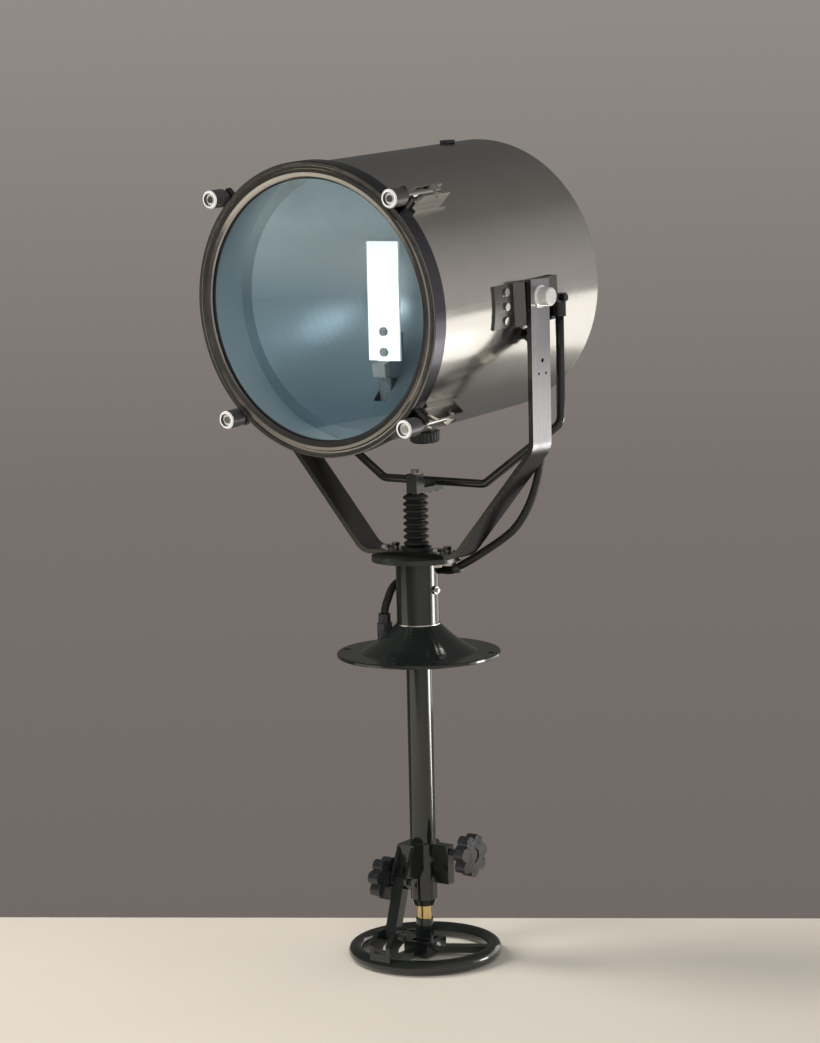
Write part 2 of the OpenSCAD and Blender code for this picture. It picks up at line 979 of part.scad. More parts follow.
module reflector() {
    hole_y = plate_y;
    hole_r = 2 * sqrt(focal_length * (mirror_vertex - hole_y));
    color("#c4c8cc")
        difference() {
            round_drum()
                polygon(concat(
                    [for (i = [0 : mirror_steps])
                        let (r = mirror_r * i / mirror_steps)
                        [r, mirror_vertex - r * r / (4 * focal_length)]],
                    [[drum_in, mirror_rim], [drum_in, mirror_rim + mirror_t]],
                    [for (i = [mirror_steps : -1 : 0])
                        let (r = mirror_r * i / mirror_steps)
                        [r, mirror_vertex + mirror_t - r * r / (4 * focal_length)]]));
            at_head()
                translate([-mirror_slot_r, hole_y - 14, -mirror_r])
                    cube([2 * mirror_slot_r, 28, mirror_r - hole_r + 30]);
        }
}

// Pressed hat plates that carry the trunnions on the drum's sides
module trunnion_brackets() {
    foot = -31;
    color("#9a9892")
        at_head()
            both_sides()
                difference() {
                    union() {
                        intersection() {
                            translate([0, 0, drum_rise])
                                y_rod(-68, foot, drum_r + hat_t);
                            translate([130, -68, hat_low])
                                cube([60, -foot + 68, hat_high - hat_low]);
                        }
                        translate([0, 0, hat_low])
                            linear_extrude(hat_high - hat_low)
                                polygon([[155, foot - 2], [drum_r + hat_t, foot - 2], [drum_r + hat_t, foot],
                                    [hat_x, -20], [hat_x, 47], [155, 47], [155, 47 - hat_t],
                                    [hat_x - hat_t, 47 - hat_t], [hat_x - hat_t, -18.5],
                                    [drum_r - 1, foot + 2], [155, foot + 2]]);
                    }
                    translate([0, 0, drum_rise])
                        y_rod(-100, 100, drum_r);
                    x_rod(140, 190, bush_r);
                    bracket_screw_places()
                        x_rod(140, 190, 2.6);
                    translate([0, pin_y, pin_z])
                        x_rod(140, 190, pin_r);
                }
}

module bracket_screw_places() {
    for (a = [-9.3, -3.7, 1.9])
        translate([0, -46, drum_rise])
            rotate([0, -a, 0])
                children();
}

module bracket_screws() {
    seat = drum_r + hat_t + 0.1;
    color("#d4d3ce")
        at_head()
            both_sides()
                bracket_screw_places() {
                    x_rod(seat, seat + 2.4, 4.5);
                    x_rod(drum_in - 2, seat, 2.5);
                }
}

module trunnion_bushes() {
    color("#b08d57")
        at_head()
            both_sides()
                difference() {
                    union() {
                        x_rod(hat_x - hat_t, hat_x, bush_r);
                        x_rod(hat_x, hat_x + 0.6, bush_r + 3);
                    }
                    x_rod(160, 190, shank_d / 2 + slip);
                }
}

// Channel brackets on the drum with the pins that the clamp bolts swing on
module clamp_brackets() {
    foot_w = 9;
    color("#b5b3ad")
        for (a = CLAMP_ANGLES)
            at_clamp(a)
                difference() {
                    union() {
                        for (s = [-1, 1]) {
                            translate([0, 0, s * (cheek_gap + cheek_t / 2)])
                                linear_extrude(cheek_t, center = true)
                                    polygon([[-16, cheek_rear], [3, cheek_rear], [4, cheek_rear - 3],
                                        [4, cheek_front + 9], [-6, cheek_front], [-16, cheek_front]]);
                            translate([-16, cheek_front, s * (cheek_gap + foot_w / 2) - foot_w / 2])
                                cube([3.5, cheek_rear - cheek_front, foot_w]);
                        }
                        translate([0, pivot_y, -cheek_gap - cheek_t - 1.5])
                            cylinder(h = 2 * (cheek_gap + cheek_t + 1.5), r = 3);
                    }
                    translate([-clamp_r, 0, 0])
                        y_rod(-200, 0, drum_r);
                }
}

module vent_plug() {
    color("#1a1a1a")
        at_head() {
            translate([0, 92, drum_r + drum_rise - 4])
                cylinder(h = 5, r = 4.9);
            translate([0, 92, drum_r + drum_rise + 0.2])
                cylinder(h = 3.5, r = 9);
        }
}

module bail_pins() {
    color("#2a2a2a")
        at_head()
            both_sides()
                translate([0, pin_y, pin_z]) {
                    x_rod(hat_x - 5, bail_x + 7, pin_r);
                    x_rod(hat_x, hat_x + 1.5, 4);
                    x_rod(bail_x + 6.5, bail_x + 9.5, 4.2);
                    x_rod(hat_x - 5, hat_x - hat_t, 5);
                }
}

module head_gland_place() {
    translate([sqrt(pow(drum_r, 2) - pow(52, 2)), 8, drum_rise - 52])
        children();
}

// Elbow gland that turns the cable down beside the drum
module head_gland() {
    color("#1b1b1b")
        difference() {
            at_head()
                head_gland_place() {
                    x_rod(-3, 6, 4.9);
                    x_rod(3, 6, 8);
                }
            translate([166, 8, 355])
                cylinder(h = 50, r = cable_d / 2);
        }
    color("#1b1b1b")
        difference() {
            translate([166, 8, 368])
                cylinder(h = 20, r = 7);
            translate([166, 8, 360])
                cylinder(h = 18, r = cable_d / 2);
        }
}

module head_cable() {
    color("#161616")
        swept_tube(spline(HEAD_ROUTE, 1), cable_d / 2, 10);
}

// ---------------------------------------------------------------- swing clamps

module swing_bolt(angle) {
    color("#c8c7c1")
        at_clamp(angle)
            difference() {
                union() {
                    translate([0, pivot_y, -4.5])
                        cylinder(h = 9, r = eye_r);
                    y_rod(nut_back - nut_len + 2, pivot_y - 3, clamp_bolt_r);
                }
                translate([0, pivot_y, -10])
                    cylinder(h = 20, r = 3 + slip);
            }
}

module clamp_nut(angle) {
    recess = 4;
    color("#dcdbd6")
        at_clamp(angle)
            translate([0, nut_back, 0])
                rotate([90, 0, 0])
                    difference() {
                        rotate_extrude()
                            polygon([[0, 0], [nut_r - 2, 0], [nut_r - 2, 4], [nut_r, 5.5],
                                [nut_r, nut_len - 1.5], [nut_r - 1.5, nut_len], [nut_r - 3, nut_len],
                                [nut_r - 3.5, nut_len - recess], [0, nut_len - recess]]);
                        translate([0, 0, -1])
                            cylinder(h = nut_len + 2, r = clamp_bolt_r + slip);
                    }
}

// ---------------------------------------------------------------- one line for each node

deck_flange();
standing_tube();
thrust_washer();
deck_gland();
turning_sleeve();
sleeve_bushes();
grease_nipple();
turntable();
yoke();
yoke_bolts();
trunnion_bolts();
control_tube();
control_head();
link_bracket();
cable_clips();
bellows_collar();
guide_bushes();
arm_cable();
train_cable();
push_rod();
rod_head();
rod_head_bolts();
elevation_bail();
bail_ends();
fork_sleeve();
bellows();
handwheel();
wheel_lugs();
wheel_pins();
link_bar();
train_knob();
elevation_knob();
lamp_carrier();
lampholder();
lamp();
focus_stem();
focus_knob();
drum_shell();
rear_cover();
front_ring();
front_glass();
glass_gasket();
reflector();
trunnion_brackets();
bracket_screws();
trunnion_bushes();
clamp_brackets();
vent_plug();
bail_pins();
head_gland();
head_cable();
swing_bolt(CLAMP_ANGLES[0]);  // swing_bolt_1
swing_bolt(CLAMP_ANGLES[1]);  // swing_bolt_2
swing_bolt(CLAMP_ANGLES[2]);  // swing_bolt_3
swing_bolt(CLAMP_ANGLES[3]);  // swing_bolt_4
clamp_nut(CLAMP_ANGLES[0]);  // clamp_nut_1
clamp_nut(CLAMP_ANGLES[1]);  // clamp_nut_2
clamp_nut(CLAMP_ANGLES[2]);  // clamp_nut_3
clamp_nut(CLAMP_ANGLES[3]);  // clamp_nut_4
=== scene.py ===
"""Looks of the cabin-controlled searchlight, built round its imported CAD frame."""
import json
import math

import bpy
from mathutils import Matrix, Vector


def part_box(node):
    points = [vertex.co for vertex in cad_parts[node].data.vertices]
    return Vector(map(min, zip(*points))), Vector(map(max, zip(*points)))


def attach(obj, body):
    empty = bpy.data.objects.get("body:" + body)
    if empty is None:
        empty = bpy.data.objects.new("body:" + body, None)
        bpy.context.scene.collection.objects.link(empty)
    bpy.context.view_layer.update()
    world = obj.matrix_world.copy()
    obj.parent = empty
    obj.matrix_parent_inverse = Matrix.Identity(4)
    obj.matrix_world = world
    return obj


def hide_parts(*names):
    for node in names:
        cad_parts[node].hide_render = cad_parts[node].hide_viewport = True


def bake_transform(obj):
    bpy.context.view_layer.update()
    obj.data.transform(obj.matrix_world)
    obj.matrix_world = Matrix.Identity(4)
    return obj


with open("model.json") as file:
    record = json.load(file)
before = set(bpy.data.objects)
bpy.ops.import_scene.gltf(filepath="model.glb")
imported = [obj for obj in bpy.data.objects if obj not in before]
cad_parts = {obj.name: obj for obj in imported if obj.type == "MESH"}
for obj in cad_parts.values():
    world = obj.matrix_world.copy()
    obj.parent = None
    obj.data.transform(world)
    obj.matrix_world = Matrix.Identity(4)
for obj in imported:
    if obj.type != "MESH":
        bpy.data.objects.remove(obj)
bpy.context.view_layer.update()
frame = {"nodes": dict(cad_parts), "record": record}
NODES = frame["nodes"]
MM = 0.001
HEAD_TILT = math.radians(4)
DRUM_INNER_R = 0.16275
RING_OUTER_R = 0.1674
PLATE_FOOT = 0.3563
MIX_A, MIX_B, MIX_RESULT = 6, 7, 2  # a Mix node's colour sockets
CABLE_R = 0.00475
BAIL_R = 0.005
TRUNNION = Vector((0, 0, 0.431))
DRUM_AXIS = Vector((0, -math.cos(HEAD_TILT), -math.sin(HEAD_TILT)))
DRUM_RISE = 0.0045
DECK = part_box("handwheel")[0].z - 0.0005


# ---------------------------------------------------------------- camera

def add_camera():
    """A long lens from the front right and a little above."""
    azimuth, elevation, roll = (math.radians(a) for a in (36.28, 7.79, -1.27))
    distance, aside, aim_height = 3.322, -0.00714, 0.16094
    back = Vector((math.sin(azimuth) * math.cos(elevation),
                   -math.cos(azimuth) * math.cos(elevation), math.sin(elevation)))
    right = Vector((math.cos(azimuth), math.sin(azimuth), 0))
    up = back.cross(right)
    axis_x = right * math.cos(roll) + up * math.sin(roll)
    axis_y = up * math.cos(roll) - right * math.sin(roll)
    place = right * aside + Vector((0, 0, aim_height)) + back * distance
    data = bpy.data.cameras.new("camera")
    data.lens = 96.4
    data.sensor_width = 36
    camera = bpy.data.objects.new("camera", data)
    bpy.context.scene.collection.objects.link(camera)
    camera.matrix_world = Matrix((
        (axis_x.x, axis_y.x, back.x, place.x),
        (axis_x.y, axis_y.y, back.y, place.y),
        (axis_x.z, axis_y.z, back.z, place.z),
        (0, 0, 0, 1)))
    bpy.context.scene.camera = camera
    bpy.context.scene.view_settings.view_transform = "Standard"


# ---------------------------------------------------------------- materials

class Nodes:
    """Short forms for building one node tree."""

    def __init__(self, name):
        self.material = bpy.data.materials.new(name)
        self.material.use_nodes = True
        self.tree = self.material.node_tree
        self.shader = self.tree.nodes["Principled BSDF"]
        self.place = self.add("ShaderNodeTexCoord").outputs["Object"]

    def add(self, kind, **settings):
        node = self.tree.nodes.new(kind)
        for key, value in settings.items():
            setattr(node, key, value)
        return node

    def link(self, a, b):
        self.tree.links.new(a, b)

    def stretched(self, scale, turn=(0, 0, 0)):
        mapping = self.add("ShaderNodeMapping")
        mapping.inputs["Rotation"].default_value = turn
        mapping.inputs["Scale"].default_value = scale
        self.link(self.place, mapping.inputs["Vector"])
        return mapping.outputs["Vector"]

    def noise(self, scale, detail=3, rough=0.5, vector=None):
        node = self.add("ShaderNodeTexNoise")
        node.inputs["Scale"].default_value = scale
        node.inputs["Detail"].default_value = detail
        node.inputs["Roughness"].default_value = rough
        self.link(vector or self.place, node.inputs["Vector"])
        return node.outputs["Fac"]

    def ramp(self, value, stops):
        node = self.add("ShaderNodeValToRGB")
        while len(node.color_ramp.elements) < len(stops):
            node.color_ramp.elements.new(0.5)
        for element, (at, colour) in zip(node.color_ramp.elements, stops):
            element.position = at
            element.color = (*colour, 1)
        self.link(value, node.inputs["Fac"])
        return node.outputs["Color"]

    def vector(self, operation, a, b=None):
        """One vector operation; `a` is a socket and `b` is plain numbers."""
        node = self.add("ShaderNodeVectorMath", operation=operation)
        self.link(a, node.inputs[0])
        if b is not None:
            node.inputs[1].default_value = b
        return node

    def from_axis(self):
        """Distance from the drum's axis, in metres."""
        middle = TRUNNION + Vector((0, -math.sin(HEAD_TILT), math.cos(HEAD_TILT))) * DRUM_RISE
        offset = self.vector("SUBTRACT", self.place, middle).outputs["Vector"]
        across = self.vector("CROSS_PRODUCT", offset, DRUM_AXIS).outputs["Vector"]
        return self.vector("LENGTH", across).outputs["Value"]

    def height(self):
        split = self.add("ShaderNodeSeparateXYZ")
        self.link(self.place, split.inputs[0])
        return split.outputs["Z"]

    def past(self, value, edge, soft, below=0.0, above=1.0):
        """A narrow step from `below` to `above` where the value passes `edge`."""
        return self.between(value, below, above, edge - soft, edge + soft)

    def facing(self, direction):
        """How squarely the surface faces `direction` or its opposite, 0 to 1."""
        normal = self.add("ShaderNodeTexCoord").outputs["Normal"]
        dot = self.vector("DOT_PRODUCT", normal, Vector(direction).normalized()).outputs["Value"]
        size = self.add("ShaderNodeMath", operation="ABSOLUTE")
        self.link(dot, size.inputs[0])
        return size.outputs[0]

    def mix(self, factor, a, b):
        """Colour `a` where the factor is 0 and `b` where it is 1; each is a socket or plain numbers."""
        node = self.add("ShaderNodeMix", data_type="RGBA")
        self.link(factor, node.inputs["Factor"])
        for socket, value in ((node.inputs[MIX_A], a), (node.inputs[MIX_B], b)):
            if isinstance(value, tuple):
                socket.default_value = (*value, 1)
            else:
                self.link(value, socket)
        return node.outputs[MIX_RESULT]

    def between(self, value, low, high, start=0.3, end=0.7):
        node = self.add("ShaderNodeMapRange")
        for key, number in (("From Min", start), ("From Max", end), ("To Min", low), ("To Max", high)):
            node.inputs[key].default_value = number
        self.link(value, node.inputs["Value"])
        return node.outputs["Result"]

    def bump(self, height, strength, distance, chain=None):
        node = self.add("ShaderNodeBump")
        node.inputs["Strength"].default_value = strength
        node.inputs["Distance"].default_value = distance
        self.link(height, node.inputs["Height"])
        if chain:
            self.link(chain, node.inputs["Normal"])
        return node.outputs["Normal"]

    def rounded(self, radius):
        node = self.add("ShaderNodeBevel")
        node.samples = 4
        node.inputs["Radius"].default_value = radius
        return node.outputs["Normal"]

    def set(self, **values):
        for key, value in values.items():
            self.shader.inputs[key.replace("_", " ")].default_value = value

    def use(self, colour=None, roughness=None, normal=None):
        for key, output in (("Base Color", colour), ("Roughness", roughness), ("Normal", normal)):
            if output:
                self.link(output, self.shader.inputs[key])
        return self.material


def shades(colour, spread):
    """Three stops of one colour, darker to lighter."""
    return [(0.25, [c * (1 - spread) for c in colour]), (0.5, colour),
            (0.8, [min(1, c * (1 + spread)) for c in colour])]


def steel(name, colour, rough, lines, shade=None, metal=1.0):
    """Polished stainless: fine drawn lines stretched across `lines`, with soft cloudiness.

    `shade(nodes)` gives a mask of painted light, and the colour and roughness that the metal gets under it.
    """
    n = Nodes(name)
    n.set(Metallic=metal)
    drawn = n.noise(1, 2, 0.6, n.stretched(lines, (-HEAD_TILT, 0, 0)))
    cloud = n.noise(9, 4, 0.6)
    tone = n.ramp(cloud, shades(colour, 0.04))
    mixed = n.add("ShaderNodeMath", operation="MULTIPLY")
    n.link(drawn, mixed.inputs[0])
    n.link(cloud, mixed.inputs[1])
    wear = n.between(mixed.outputs[0], rough * 0.75, rough * 1.35, 0.12, 0.4)
    if shade:
        mask, under, dull = shade(n)
        tone = n.mix(mask, tone, under)
        wear = n.mix(mask, wear, (dull, dull, dull))
    return n.use(tone, wear, n.bump(drawn, 0.05, 0.00005, n.rounded(0.0003)))


def enamel(name, colour, rough, coat=0.0, shade=None):
    """Sprayed paint: orange peel, faint cloudiness and rubbed, smoother patches.

    `shade(nodes)` is as for steel, but its roughness isn't used.
    """
    n = Nodes(name)
    n.set(Coat_Weight=coat, Coat_Roughness=0.06, IOR=1.52)
    cloud = n.noise(14, 4, 0.6)
    peeled = n.noise(900, 2, 0.5)
    rubbed = n.noise(60, 5, 0.65)
    tone = n.ramp(cloud, shades(colour, 0.25))
    if shade:
        mask, under, _ = shade(n)
        tone = n.mix(mask, tone, under)
    return n.use(tone, n.between(rubbed, rough * 0.75, rough * 1.3),
                 n.bump(peeled, 0.05, 0.0002, n.rounded(0.0005)))


def rubber_material():
    n = Nodes("rubber_matt")
    grain = n.noise(1500, 3, 0.6)
    dust = n.noise(40, 5, 0.7)
    n.set(IOR=1.5)
    return n.use(n.ramp(dust, [(0.3, (0.004, 0.004, 0.004)), (0.75, (0.011, 0.011, 0.011))]),
                 n.between(dust, 0.42, 0.62), n.bump(grain, 0.12, 0.0001))


def plastic_material():
    n = Nodes("moulded_black")
    n.set(IOR=1.5)
    grain = n.noise(1100, 2, 0.5)
    handled = n.noise(50, 4, 0.6)
    return n.use(n.ramp(handled, [(0.3, (0.010, 0.011, 0.013)), (0.8, (0.020, 0.021, 0.024))]),
                 n.between(handled, 0.2, 0.36), n.bump(grain, 0.06, 0.0001, n.rounded(0.0012)))


def brass_material(name, colour, rough):
    n = Nodes(name)
    n.set(Metallic=1.0)
    turned = n.noise(1, 2, 0.5, n.stretched((30, 30, 2600)))
    tarnish = n.noise(70, 5, 0.65)
    tone = n.ramp(tarnish, [(0.25, [c * 0.72 for c in colour]), (0.6, colour)])
    return n.use(tone, n.between(tarnish, rough, rough * 1.6), n.bump(turned, 0.1, 0.0001))


def glass_material():
    """Flat plate with a faint blue-green body and a little dust. Lamps shine straight through it."""
    n = Nodes("plate_glass")
    n.set(Transmission_Weight=1.0, IOR=1.5)
    dust = n.noise(25, 6, 0.7)
    tone = n.ramp(n.noise(6, 2), [(0.3, (0.88, 0.955, 0.975)), (0.7, (0.92, 0.975, 0.985))])
    n.use(tone, n.between(dust, 0.0, 0.015, 0.45, 0.8))
    clear = n.add("ShaderNodeBsdfTransparent")
    clear.inputs["Color"].default_value = (0.86, 0.92, 0.94, 1)
    pick = n.add("ShaderNodeMixShader")
    n.link(n.add("ShaderNodeLightPath").outputs["Is Shadow Ray"], pick.inputs["Fac"])
    n.link(n.shader.outputs[0], pick.inputs[1])
    n.link(clear.outputs[0], pick.inputs[2])
    n.link(pick.outputs[0], n.tree.nodes["Material Output"].inputs["Surface"])
    return n.material


def lamp_glass_material():
    n = Nodes("quartz")
    n.set(Transmission_Weight=1.0, IOR=1.46)
    smoke = n.noise(60, 3)
    return n.use(n.ramp(smoke, [(0.3, (0.93, 0.95, 0.97)), (0.7, (0.99, 0.99, 1.0))]),
                 n.between(smoke, 0.01, 0.05))


def mirror_material():
    """Silvering with a painted reflection: dark blue-grey at the bottom, near-white towards the top."""
    n = Nodes("silvering")
    n.set(Metallic=1.0)
    haze = n.noise(30, 4, 0.6)
    low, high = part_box("reflector")
    rise = n.between(n.height(), 0.0, 1.0, low.z, high.z)
    # Painted reflection: colour rising with height from dark blue-grey to near-white.
    painted_mirror_gradient = n.ramp(rise, [(0.06, (0.15, 0.21, 0.25)), (0.5, (0.31, 0.365, 0.39)), (0.78, (0.98, 1.0, 1.0))])
    shine = n.add("ShaderNodeMix", data_type="RGBA", blend_type="MULTIPLY")
    shine.inputs["Factor"].default_value = 1
    n.link(painted_mirror_gradient, shine.inputs[MIX_A])
    n.link(n.ramp(haze, [(0.3, (0.92, 0.93, 0.94)), (0.7, (1.0, 1.0, 1.0))]), shine.inputs[MIX_B])
    return n.use(shine.outputs[MIX_RESULT], n.between(haze, 0.48, 0.54))


def ceramic_material():
    n = Nodes("steatite")
    speck = n.noise(400, 4, 0.7)
    return n.use(n.ramp(speck, [(0.3, (0.10, 0.10, 0.10)), (0.7, (0.16, 0.16, 0.155))]),
                 n.between(speck, 0.4, 0.55), n.bump(speck, 0.08, 0.0001, n.rounded(0.0004)))


def inside_drum_painted_reflection(n):
    """Painted reflection: the inside of the lamp house tinted dull blue-grey to look like the mirror."""
    return n.past(n.from_axis(), DRUM_INNER_R, 0.00025, 1.0, 0.0), (0.50, 0.57, 0.60), 0.5


def ring_side_painted_dark(n):
    """Painted dark reflection: the outside of the front ring made near-black."""
    return n.past(n.from_axis(), RING_OUTER_R, 0.0002), (0.10, 0.10, 0.115), 0.18


def nut_side_painted_dark(n):
    """Painted dark reflection: the side of a clamp nut made near-black, while its end faces keep the
    near-white colour.
    """
    return n.past(n.facing(DRUM_AXIS), 0.65, 0.1, 1.0, 0.0), (0.07, 0.07, 0.07), 0.35


def foot_painted_shade(n):
    """Painted shade: the foot below the lamp's white plate made dark."""
    return n.past(n.height(), PLATE_FOOT, 0.0003, 1.0, 0.0), (0.06, 0.07, 0.075), 0.4


def bar_slopes_painted_dark(n):
    """Painted dark reflection: the bar's sloping and level stretches and its edges made darker than its
    upright faces.
    """
    return n.past(n.facing((1, 0, 0)), 0.9, 0.05, 1.0, 0.0), (0.12, 0.12, 0.115), 0.22


MATERIALS = {
    "black_enamel": enamel("gloss_enamel", (0.008, 0.010, 0.009), 0.12, 0.35),
    "dark_steel": enamel("dark_coating", (0.015, 0.018, 0.016), 0.20),
    "bright_steel": steel("bright_fasteners", (0.66, 0.65, 0.62), 0.12, (300, 300, 300)),
    "polished_steel": steel("polished_sheet", (0.60, 0.58, 0.55), 0.17, (5, 900, 5), shade=inside_drum_painted_reflection),
    # The ring's low colour is a painted dark reflection; its outside is darker still.
    "ring_steel": steel("spun_ring", (0.36, 0.35, 0.325), 0.16, (60, 60, 60), shade=ring_side_painted_dark),
    "bronze": brass_material("bearing_bronze", (0.50, 0.34, 0.19), 0.25),
    "brass_rod": brass_material("turned_brass", (0.72, 0.52, 0.24), 0.16),
    "black_rod": enamel("black_rod_coat", (0.010, 0.010, 0.010), 0.15, 0.3),
    "rubber": rubber_material(),
    "black_plastic": plastic_material(),
    "front_glass": glass_material(),
    "lamp_glass": lamp_glass_material(),
    "mirror": mirror_material(),
    "white_plate": enamel("white_enamel", (0.86, 0.86, 0.84), 0.3, 0.2, shade=foot_painted_shade),
    "holder_ceramic": ceramic_material(),
}
# Near-white, half-metal colour for the clamp nuts and trunnion caps: a painted bright reflection.
KNURLED = steel("knurled_nut", (0.90, 0.89, 0.87), 0.16, (300, 300, 300), shade=nut_side_painted_dark, metal=0.3)
CAP = steel("turned_cap", (0.90, 0.89, 0.87), 0.14, (300, 300, 300), metal=0.5)
# Yoke bar: its low colour and its darker slopes are painted dark reflections.
BAR = steel("bent_bar", (0.35, 0.35, 0.37), 0.24, (300, 300, 5), shade=bar_slopes_painted_dark)
# Trunnion brackets: their very dark colour is a painted dark reflection.
BRACKET = steel("pressed_bracket", (0.17, 0.17, 0.165), 0.24, (300, 300, 300))
COVER = steel("pressed_cover", (0.60, 0.58, 0.55), 0.2, (300, 300, 300))
NODE_MATERIALS = {"yoke": BAR, "rear_cover": COVER, "trunnion_bolts": CAP, "trunnion_brackets": BRACKET,
                  "clamp_nut_1": KNURLED, "clamp_nut_2": KNURLED, "clamp_nut_3": KNURLED,
                  "clamp_nut_4": KNURLED}


def finish_cad():
    """Every carried-over node takes a finish of its own, or else the one of its slot."""
    for part in frame["record"]["subparts"]:
        node = NODES[part["node"]]
        for slot in node.material_slots:
            slot.material = NODE_MATERIALS.get(part["node"], MATERIALS[part["material_slot"]])


# ---------------------------------------------------------------- mesh tools

def new_piece(name, mesh, body, slot, replaces=()):
    piece = bpy.data.objects.new(name, mesh)
    bpy.context.scene.collection.objects.link(piece)
    mesh.materials.append(MATERIALS[slot])
    for face in mesh.polygons:
        face.use_smooth = True
    if body:
        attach(piece, body)
    if replaces:
        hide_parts(*replaces)
    return piece


def mesh_from(name, points, faces):
    mesh = bpy.data.meshes.new(name)
    mesh.from_pydata([tuple(p) for p in points], [], faces)
    mesh.update()
    return mesh


def catmull(points, steps):
    """Smooth curve through the points."""
    out = []
    last = len(points) - 1
    for i in range(last):
        a, b, c, d = (points[max(i - 1, 0)], points[i], points[i + 1], points[min(i + 2, last)])
        for k in range(steps):
            t = k / steps
            out.append(0.5 * (2 * b + (c - a) * t + (2 * a - 5 * b + 4 * c - d) * t * t
                              + (3 * b - a - 3 * c + d) * t ** 3))
    return out + [points[-1]]


def sweep(name, path, radius, sides):
    """A round tube along the path, closed at both ends."""
    points, faces = [], []
    side = None
    for i, p in enumerate(path):
        along = (path[min(i + 1, len(path) - 1)] - path[max(i - 1, 0)]).normalized()
        if side is None:
            side = along.orthogonal().normalized()
        side = (side - along * side.dot(along)).normalized()
        other = along.cross(side)
        for k in range(sides):
            a = 2 * math.pi * k / sides
            points.append(p + radius * (math.cos(a) * side + math.sin(a) * other))
    for i in range(len(path) - 1):
        for k in range(sides):
            m = (k + 1) % sides
            faces.append((i * sides + k, i * sides + m, (i + 1) * sides + m, (i + 1) * sides + k))
    faces.append(tuple(reversed(range(sides))))
    faces.append(tuple(range((len(path) - 1) * sides, len(path) * sides)))
    return mesh_from(name, points, faces)


def lathe(name, profile, sides):
    """Turns the closed loop [(radius, height), ...] round the Z axis."""
    points, faces = [], []
    count = len(profile)
    for k in range(sides):
        a = 2 * math.pi * k / sides
        for r, z in profile:
            points.append((r * math.cos(a), r * math.sin(a), z))
    for k in range(sides):
        m = (k + 1) % sides
        for i in range(count):
            j = (i + 1) % count
            faces.append((k * count + i, m * count + i, m * count + j, k * count + j))
    return mesh_from(name, points, faces)


# ---------------------------------------------------------------- soft and bent pieces

def add_bellows():
    """Rubber boot with round folds, between the yoke's base and the rod's head."""
    low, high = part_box("bellows")
    folds, steps = 8, 10
    root, crest, wall = 0.0107, 0.0153, 0.0014
    height = high.z - low.z
    outer = []
    for i in range(folds * steps + 1):
        t = i / steps
        wave = (0.5 - 0.5 * math.cos(2 * math.pi * t)) ** 0.7
        outer.append((root + (crest - root) * wave, low.z + height * i / (folds * steps)))
    inner = [(max(r - wall, 0.0071), z) for r, z in reversed(outer)]
    boot = new_piece("boot", lathe("boot", outer + inner, 48), None, "rubber")
    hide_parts("bellows")
    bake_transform(boot)


def add_cables():
    """One cable in three stretches: head to arm, down the arm, and round the sleeve to its gland."""
    head = [(166, 8, 368), (167, 8, 359), (169, 8, 350), (170, 8, 342), (170, 8, 330)]
    arm = [(170, 8, 330), (170, 8, 319), (169, 14, 304), (168, 21.5, 290), (166, 25.5, 276),
           (164, 26.5, 260), (161, 27, 240), (156, 28, 219), (147, 29, 195), (135, 30, 174),
           (120, 31, 156), (102, 31, 142), (82, 29.5, 129), (64, 26.5, 117.5), (49, 24.9, 109.1),
           (42, 26, 105.5)]
    train = [(42, 26, 105.5), (35, 27.1, 101.9), (24, 31.5, 99.5), (10, 35, 98.5), (-3, 34.5, 97),
             (-14, 31.5, 94.5), (-25, 23, 91), (-31, 11, 87), (-33, -1, 82), (-33.5, -9, 75),
             (-33.5, -14.5, 67), (-34.5, -18, 59), (-35, -20, 50)]
    lines = {name: catmull([Vector(p) * MM for p in route], 5)
             for name, route in (("head_lead", head), ("arm_lead", arm), ("train_lead", train))}
    for name, body, node in (("head_lead", None, "head_cable"), ("arm_lead", "turret", "arm_cable"),
                             ("train_lead", None, "train_cable")):
        piece = new_piece(name, sweep(name, lines[name], CABLE_R, 24), body, "rubber")
        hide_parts(node)
        if name == "head_lead":
            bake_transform(piece)
        if name == "train_lead":
            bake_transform(piece)


def arc_path(points, radius, steps):
    """The path with its inner corners rounded to `radius`."""
    out = [points[0]]
    for a, b, c in zip(points, points[1:], points[2:]):
        u, w = (a - b).normalized(), (c - b).normalized()
        half = u.angle(w) / 2
        centre = b + (u + w).normalized() * radius / math.sin(half)
        first = b + u * radius / math.tan(half) - centre
        final = b + w * radius / math.tan(half) - centre
        for i in range(steps + 1):
            out.append(centre + first.lerp(final, i / steps).normalized() * radius)
    return out + [points[-1]]


def add_bail():
    """Bent round rod that lifts and lowers the head."""
    corners = [(-183, 423), (-183, 283), (-73.7, 205.5), (73.7, 205.5), (183, 283), (183, 423)]
    path = arc_path([Vector((x, 38, z)) * MM for x, z in corners], 0.016, 14)
    new_piece("bail", sweep("bail", path, BAIL_R, 40), "push_rod", "black_rod", ["elevation_bail"])


# ---------------------------------------------------------------- stage and light

def stage_material(name, colour, rough, glow=0.0):
    n = Nodes(name)
    cloud = n.noise(3, 5, 0.6)
    n.set(Roughness=rough)
    if glow:
        n.set(Emission_Color=(1.0, 0.965, 0.91, 1), Emission_Strength=glow)
    return n.use(n.ramp(cloud, [(0.3, [c * 0.96 for c in colour]), (0.7, colour)]))


def add_stage_piece(name, mesh, material, seen=True):
    piece = bpy.data.objects.new(name, mesh)
    bpy.context.scene.collection.objects.link(piece)
    mesh.materials.append(material)
    piece.visible_camera = seen


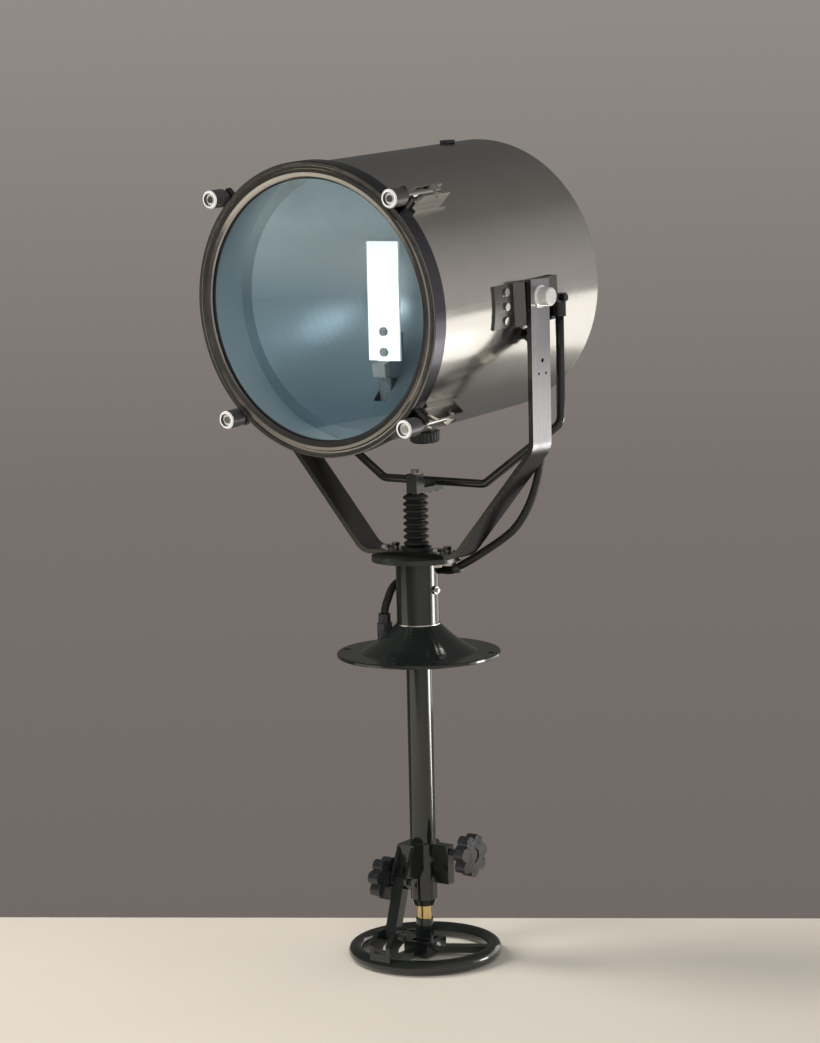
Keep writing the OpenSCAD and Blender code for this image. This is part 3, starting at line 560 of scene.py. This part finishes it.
def add_table():
    """Pale table top whose back edge lies a little behind the handwheel."""
    half, front, rear, thick = 3.0, -1.4, 0.164, 0.03
    turn = Matrix.Rotation(math.radians(31.4), 4, "Z")
    corners = [turn @ Vector((side * half, y, DECK - drop)) for drop in (0, thick) for side, y in
               ((-1, front), (1, front), (1, rear), (-1, rear))]
    faces = [(0, 1, 2, 3), (7, 6, 5, 4), (0, 4, 5, 1), (1, 5, 6, 2), (2, 6, 7, 3), (3, 7, 4, 0)]
    add_stage_piece("table", mesh_from("table", corners, faces),
                    stage_material("table_top", (0.70, 0.65, 0.57), 0.6))


def add_card(name, radius, start, end, low, high, glow):
    """An upright glowing screen, curved round the object from compass angle start to end.

    The camera doesn't see it.
    """
    steps = 24
    points, faces = [], []
    for i in range(steps + 1):
        a = math.radians(start + (end - start) * i / steps)
        for z in (low, high):
            points.append((radius * math.sin(a), radius * math.cos(a), z))
    for i in range(steps):
        faces.append((2 * i, 2 * i + 1, 2 * i + 3, 2 * i + 2))
    add_stage_piece(name, mesh_from(name, points, faces),
                    stage_material(name + "_face", (0.2, 0.2, 0.2), 0.8, glow), seen=False)


def add_light(name, place, aim, size, power, colour):
    data = bpy.data.lights.new(name, "AREA")
    data.shape = "RECTANGLE"
    data.size, data.size_y = size
    data.energy = power
    data.color = colour
    lamp = bpy.data.objects.new(name, data)
    bpy.context.scene.collection.objects.link(lamp)
    lamp.location = place
    lamp.rotation_mode = "QUATERNION"
    lamp.rotation_quaternion = (Vector(aim) - Vector(place)).to_track_quat("-Z", "Y")
    lamp.visible_camera = False
    lamp.visible_glossy = False


def add_world():
    """Dim studio walls, lighter towards the right; the backdrop that the camera sees is plain."""
    world = bpy.data.worlds.new("studio")
    bpy.context.scene.world = world
    world.use_nodes = True
    tree = world.node_tree
    tree.nodes.clear()

    def add(kind):
        return tree.nodes.new(kind)

    def toward(direction, stops):
        dot = add("ShaderNodeVectorMath")
        dot.operation = "DOT_PRODUCT"
        tree.links.new(add("ShaderNodeTexCoord").outputs["Generated"], dot.inputs[0])
        dot.inputs[1].default_value = Vector(direction).normalized()
        spread = add("ShaderNodeMapRange")
        spread.inputs["From Min"].default_value = -1
        tree.links.new(dot.outputs["Value"], spread.inputs["Value"])
        ramp = add("ShaderNodeValToRGB")
        while len(ramp.color_ramp.elements) < len(stops):
            ramp.color_ramp.elements.new(0.5)
        for element, (at, value) in zip(ramp.color_ramp.elements, stops):
            element.position = (at + 1) / 2
            element.color = (*value, 1)
        tree.links.new(spread.outputs["Result"], ramp.inputs["Fac"])
        return ramp.outputs["Color"]

    def warm(v):
        return (v, v * 0.96, v * 0.92)

    walls = toward((0.95, 0, -0.3), [(-0.65, warm(0.09)), (-0.3, warm(0.13)), (0.1, warm(0.18)),
                                     (0.42, warm(0.37)), (0.6, warm(0.52))])
    backdrop = toward((0, 0, 1), [(-0.3, (0.160, 0.138, 0.128)), (-0.12, (0.188, 0.165, 0.153)),
                                  (0.05, (0.285, 0.262, 0.242)), (0.4, (0.33, 0.31, 0.29))])
    shaders = []
    for colour in (walls, backdrop):
        glow = add("ShaderNodeBackground")
        tree.links.new(colour, glow.inputs["Color"])
        shaders.append(glow.outputs[0])
    pick = add("ShaderNodeMixShader")
    tree.links.new(add("ShaderNodeLightPath").outputs["Is Camera Ray"], pick.inputs["Fac"])
    for socket, shader in zip((pick.inputs[1], pick.inputs[2]), shaders):
        tree.links.new(shader, socket)
    tree.links.new(pick.outputs[0], add("ShaderNodeOutputWorld").inputs["Surface"])


add_camera()
add_world()
add_table()
add_card("low_card", 1.5, -6, 70, DECK, 0.225, 1.3)
add_light("key", (-2.2, -1.2, 2.6), (0, 0, 0.1), (1.4, 1.4), 98, (1.0, 0.97, 0.93))
add_light("fill", (2.6, -2.6, 1.6), (0, 0, 0.2), (1.6, 1.6), 60, (0.93, 0.96, 1.0))
add_light("front", (-0.9, -2.8, 0.95), (0, 0, 0.4), (0.9, 0.9), 55, (1.0, 0.98, 0.95))
add_card("rim_card", 1.45, 43, 58, -0.65, -0.08, 15.0)
finish_cad()
add_bellows()
add_cables()
add_bail()
